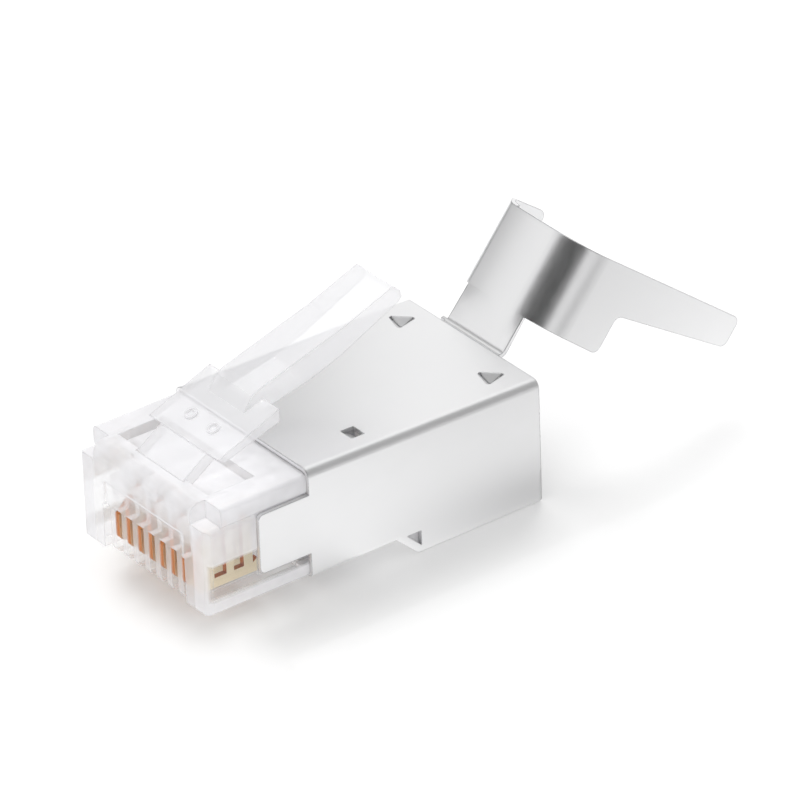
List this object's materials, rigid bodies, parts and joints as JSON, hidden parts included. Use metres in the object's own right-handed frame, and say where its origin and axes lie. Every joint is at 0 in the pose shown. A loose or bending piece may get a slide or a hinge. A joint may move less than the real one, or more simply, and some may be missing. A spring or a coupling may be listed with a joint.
{
  "type": "shielded modular plug",
  "caption": "Shielded modular plug with a clear body, gold contacts, a locking latch and a fold-down metal cable clamp.",
  "frame": {"origin": "middle of the nose's lower front edge, on the mid-plane of the contact row", "axes": "+Y from the nose to the cable, +Z from the contact side to the latch side, X across the width"},
  "size_m": [0.012, 0.0377, 0.014],
  "materials": {
    "clear_plastic": "clear polycarbonate",
    "plated_sheet": "bright nickel plate on thin sheet",
    "gold_contact": "gold flash"
  },
  "bodies": {
    "plug": {"housing": "clear_plastic", "shield": "plated_sheet", "contact_1": "gold_contact", "contact_2": "gold_contact", "contact_3": "gold_contact", "contact_4": "gold_contact", "contact_5": "gold_contact", "contact_6": "gold_contact", "contact_7": "gold_contact", "contact_8": "gold_contact"},
    "latch": {"latch": "clear_plastic"},
    "clamp": {"cable_clamp": "plated_sheet"}
  },
  "joints": [
    {"name": "latch_flex", "type": "hinge", "parent": "plug", "child": "latch", "pos_m": [0, 0.0015, 0.006], "axis": [-1, 0, 0], "range_deg": [0, 15], "stiffness_Nm_per_rad": 0.3},
    {"name": "clamp_bend", "type": "hinge", "parent": "plug", "child": "clamp", "pos_m": [0, 0.02245, 0.00613], "axis": [-1, 0, 0], "range_deg": [0, 50.5]}
  ]
}
